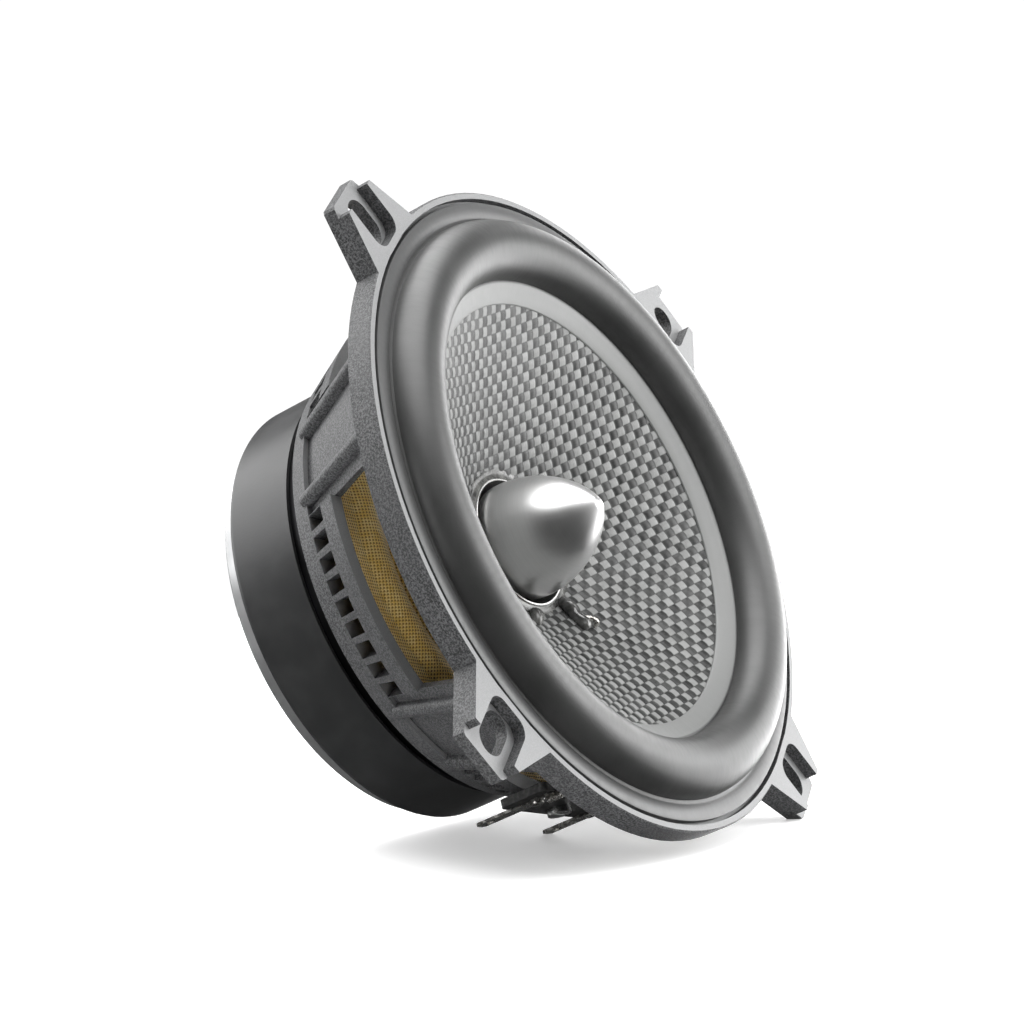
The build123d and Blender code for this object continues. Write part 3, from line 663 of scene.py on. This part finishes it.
def tube(name, route, material, sides=16, skin=None):
    """A closed tube along (x, y, z, thickness) points in metres, its skin moved by a function if given."""
    vertices, faces = [], []
    centres = [Vector(p[:3]) for p in route]
    across = None
    length = 0.0
    for i, centre in enumerate(centres):
        ahead = (centres[min(i + 1, len(centres) - 1)] - centres[max(i - 1, 0)]).normalized()
        across = across or ahead.orthogonal().normalized()
        across = (across - ahead * across.dot(ahead)).normalized()
        over = ahead.cross(across)
        length += (centre - centres[i - 1]).length if i else 0.0
        for k in range(sides):
            turn = 2 * math.pi * k / sides
            thick = route[i][3] * (skin(turn, length / mm) if skin else 1.0)
            vertices.append(centre + (across * math.cos(turn) + over * math.sin(turn)) * thick)
    rings = len(centres)
    for i in range(rings - 1):
        for k in range(sides):
            n = (k + 1) % sides
            faces.append((i * sides + k, i * sides + n, (i + 1) * sides + n, (i + 1) * sides + k))
    faces += [tuple(reversed(range(sides))), tuple(range((rings - 1) * sides, rings * sides))]
    return smooth_piece(name, [tuple(v) for v in vertices], faces, material, 75)


def on_cone(radius, degrees, lift, thick):
    """A point above the cone's front, for a tube of a thickness, all in mm."""
    return (*on_axis(radius, math.radians(degrees), cone_height(radius) + lift), thick * mm)


lump, tree, shader = new_material("joint_adhesive", (0.06, 0.06, 0.058), 0.2, specular=0.7)
murk = noise(tree, 420, 3.0)
mix_base_colour(tree, ramp(tree, murk, 0.3, 0.7), (0.035, 0.035, 0.034), (0.14, 0.14, 0.135), shader)
tree.links.new(ramp(tree, murk, 0.3, 0.7, 0.14, 0.28), shader.inputs["Roughness"])
bump(tree, shader, noise(tree, 800, 2.0), 0.00015, 0.5)
shader.inputs["Coat Weight"].default_value = 0.5
shader.inputs["Coat Roughness"].default_value = 0.08

braid, tree, shader = new_material("tinsel_braid", (0.7, 0.68, 0.64), 0.32, metallic=0.95)
strand = noise(tree, 3000, 2.0)
mix_base_colour(tree, ramp(tree, strand, 0.35, 0.65), (0.35, 0.33, 0.3), (0.9, 0.88, 0.84), shader)
tree.links.new(ramp(tree, strand, 0.3, 0.7, 0.22, 0.42), shader.inputs["Roughness"])
bump(tree, shader, strand, 0.0001, 0.6)


def plaited(turn, length):
    """Two sets of strands wound opposite ways."""
    return 0.94 + 0.06 * max(math.sin(4 * turn + 4.2 * length), math.sin(4 * turn - 4.2 * length))


def uneven(swell, lobes, twist):
    """A tube's skin with shallow lobes that wind along it."""
    return lambda turn, length: 1 + swell * math.sin(lobes * turn + twist * length)


run = smooth_route([
    on_cone(14.6, 268, 0.1, 1.0), on_cone(15.6, 264.5, 0.45, 1.5), on_cone(17.2, 261, 0.55, 1.4),
    on_cone(18.8, 258.5, 0.4, 1.3), on_cone(20.3, 257.5, 0.35, 1.4), on_cone(21.2, 257.2, 0.1, 0.7)
], 8)
mound = tube("joint_run_positive", run, lump, 20, uneven(0.10, 2, 1.9))
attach(mound, "cone_assembly")
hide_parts("lead_joint_positive")
curl = smooth_route([
    on_cone(18.6, 259.0, 1.0, 0.45), on_cone(19.6, 260.5, 1.75, 0.5), on_cone(20.7, 261.8, 1.75, 0.5),
    on_cone(21.4, 262.0, 1.0, 0.5), on_cone(21.5, 261.5, 0.35, 0.4)
], 8)
curl = tube("joint_curl_positive", curl, braid, 16, plaited)
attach(curl, "cone_assembly")
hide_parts("lead_joint_positive")
drop = smooth_route([
    on_cone(14.6, 221, 0.2, 0.8), on_cone(15.3, 219, 0.45, 1.35), on_cone(16.4, 216, 0.5, 1.5),
    on_cone(17.8, 214, 0.25, 1.1), on_cone(18.6, 213, 0.0, 0.5)
], 8)
drop = tube("joint_drop_negative", drop, adhesive, 20, uneven(0.08, 3, 1))
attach(drop, "cone_assembly")
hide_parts("lead_joint_negative")


# ---- Tinsel leads ----
# Tinsel braided over a thread core. Each lead runs from its tab up over the board, in through the window
# and on to the cone's back, slack enough for the cone's travel.

def cornered_route(corners, steps=7):
    """Straight runs between corners rounded by arcs, as (x, y, z) points in metres."""
    route = [np.array(corners[0])]
    for before, corner, after in zip(corners, corners[1:], corners[2:]):
        before, corner, after = np.array(before), np.array(corner), np.array(after)
        back, ahead = before - corner, after - corner
        cut = 0.45 * min(np.linalg.norm(back), np.linalg.norm(ahead))
        start = corner + back / np.linalg.norm(back) * cut
        end = corner + ahead / np.linalg.norm(ahead) * cut
        for i in range(steps + 1):
            t = i / steps
            route.append((1 - t) ** 2 * start + 2 * t * (1 - t) * corner + t**2 * end)
    route.append(np.array(corners[-1]))
    return route


board_top = -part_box("terminal_board")[0].y / mm
board_turn = math.radians(225)
board_face_reach = 51.67
board_height = 10.5
tab_thickness = 0.5
tab_spacing = 21.4
tab_above_rivet = 4.6
rivet_below_top = 0.45 * board_height
lead_bed = 2.0
lead_radius = 0.55
joint_radius = 18.0
joint_glue = 0.1
cone_wall = 0.9
tab_reach = board_face_reach + tab_thickness + lead_radius
tab_offset = tab_spacing / 2
lead_start_height = board_top - rivet_below_top + tab_above_rivet - lead_bed
lead_end_height = cone_height(joint_radius) - cone_wall - joint_glue - 1.2 * lead_radius
lead_rise = 2.2
lead_crest = 4.4
crest_inset = 6.5
window_inset = 15.0
last_reach = 9.0
last_drop = 1.2
point_spacing = 0.18 * mm
for name, side, degrees in (("positive", 1, 262), ("negative", -1, 215)):
    x = tab_reach * math.cos(board_turn) - side * tab_offset * math.sin(board_turn)
    z = tab_reach * math.sin(board_turn) + side * tab_offset * math.cos(board_turn)
    reach = math.hypot(x, z)
    start_turn = math.degrees(math.atan2(z, x)) % 360
    swing = degrees - start_turn
    corners = [
        on_axis(reach, math.radians(start_turn), lead_start_height),
        on_axis(reach, math.radians(start_turn), board_top + lead_rise),
        on_axis(reach - crest_inset, math.radians(start_turn + 0.10 * swing), board_top + lead_crest),
        on_axis(reach - window_inset, math.radians(start_turn + 0.35 * swing), board_top + lead_rise),
        on_axis(joint_radius + last_reach, math.radians(start_turn + 0.72 * swing), board_top - last_drop),
        on_axis(joint_radius, math.radians(degrees), lead_end_height),
    ]
    middle = cornered_route(corners)
    fine_route = []
    for here, there in zip(middle, middle[1:]):
        count = max(1, int(np.linalg.norm(there - here) / point_spacing))
        fine_route += [(*(here + (there - here) * i / count), lead_radius * mm) for i in range(count)]
    fine_route.append((*middle[-1], lead_radius * mm))
    lead = tube("braided_lead_" + name, fine_route, braid, 20, plaited)
    blend_by_radius(lead, reach * mm, joint_radius * mm)
    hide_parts("tinsel_lead_" + name)


# ---- Studio ----
# White floor, white backdrop and six soft boxes. The speaker leans on the floor, on the flange's edge
# and the boot's edge.

floor_normal = Vector((0.485, -0.406, 0.774)).normalized()
floor_drop = -0.0612
floor_mesh = bpy.data.meshes.new("floor")
half_side = 0.42
side_on = floor_normal.cross(Vector((0, 0, 1))).normalized()
along = floor_normal.cross(side_on)
centre = floor_normal * floor_drop
quarters = ((-1, -1), (-1, 1), (1, 1), (1, -1))
corners = [centre + side_on * a * half_side + along * b * half_side for a, b in quarters]
floor_mesh.from_pydata([tuple(c) for c in corners], [], [(0, 1, 2, 3)])
floor_mesh.update()
if floor_mesh.polygons[0].normal.dot(floor_normal) < 0:
    floor_mesh.flip_normals()
floor = bpy.data.objects.new("floor", floor_mesh)
bpy.context.scene.collection.objects.link(floor)
white, tree, shader = new_material("white_floor", (0.9, 0.9, 0.9), 0.7, specular=0.1)
shader.inputs["Emission Color"].default_value = (1, 1, 1, 1)
shader.inputs["Emission Strength"].default_value = 0.3
clear = node(tree, "BsdfTransparent")
sides = node(tree, "MixShader")
tree.links.new(node(tree, "NewGeometry").outputs["Backfacing"], sides.inputs[0])
tree.links.new(shader.outputs[0], sides.inputs[1])
tree.links.new(clear.outputs[0], sides.inputs[2])
tree.links.new(sides.outputs[0], tree.nodes["Material Output"].inputs["Surface"])
floor_mesh.materials.append(white)
floor.visible_glossy = False

world = bpy.data.worlds.new("studio")
bpy.context.scene.world = world
world.use_nodes = True
tree = world.node_tree
backdrop = tree.nodes["Background"]
backdrop.inputs["Color"].default_value = (1, 1, 1, 1)
backdrop.inputs["Strength"].default_value = 1.05
room = tree.nodes.new("ShaderNodeBackground")
room.inputs["Color"].default_value = (0.05, 0.05, 0.05, 1)
room.inputs["Strength"].default_value = 1.0
seen = tree.nodes.new("ShaderNodeLightPath")
either = tree.nodes.new("ShaderNodeMixShader")
tree.links.new(seen.outputs["Is Camera Ray"], either.inputs[0])
tree.links.new(room.outputs[0], either.inputs[1])
tree.links.new(backdrop.outputs[0], either.inputs[2])
tree.links.new(either.outputs[0], tree.nodes["World Output"].inputs["Surface"])

eye = Vector((-0.48796, -0.29122, 0.20836))
right = Vector((0.24227, -0.77908, -0.57822))
up = Vector((0.54571, -0.38335, 0.74515))
forward = Vector((0.80220, 0.49606, -0.33228))
camera = bpy.data.objects.new("camera", bpy.data.cameras.new("camera"))
bpy.context.scene.collection.objects.link(camera)
camera.matrix_world = Matrix((
    (right.x, up.x, -forward.x, eye.x),
    (right.y, up.y, -forward.y, eye.y),
    (right.z, up.z, -forward.z, eye.z),
    (0, 0, 0, 1)
))
camera.data.lens = 112.5
camera.data.sensor_width = 36
camera.data.clip_start = 0.01
bpy.context.scene.camera = camera


def soft_box(name, across, over, back, size, power):
    """An area light placed in the view's own right, up and towards-the-eye directions, in metres."""
    lamp = bpy.data.lights.new(name, "AREA")
    lamp.shape = "RECTANGLE"
    lamp.size, lamp.size_y = size
    lamp.energy = power
    made = bpy.data.objects.new(name, lamp)
    bpy.context.scene.collection.objects.link(made)
    made.location = right * across + up * over - forward * back
    made.visible_camera = False
    made.rotation_mode = "QUATERNION"
    made.rotation_quaternion = (-made.location).to_track_quat("-Z", "Y")


soft_box("top_box", -0.05, 0.62, 0.0, (1.0, 0.7), 12.0)
soft_box("right_box", 0.34, 0.12, 0.02, (0.22, 0.3), 1.15)
soft_box("back_wall", 0.48, -0.02, -0.36, (0.8, 0.55), 5.0)
soft_box("behind_box", 0.2, 0.02, -0.55, (0.5, 0.6), 5.0)
soft_box("left_wall", -0.7, 0.32, -0.25, (0.7, 0.8), 7.0)
soft_box("left_fill", -0.5, 0.12, 0.6, (0.3, 0.3), 1.0)
bpy.context.scene.view_settings.view_transform = "Standard"
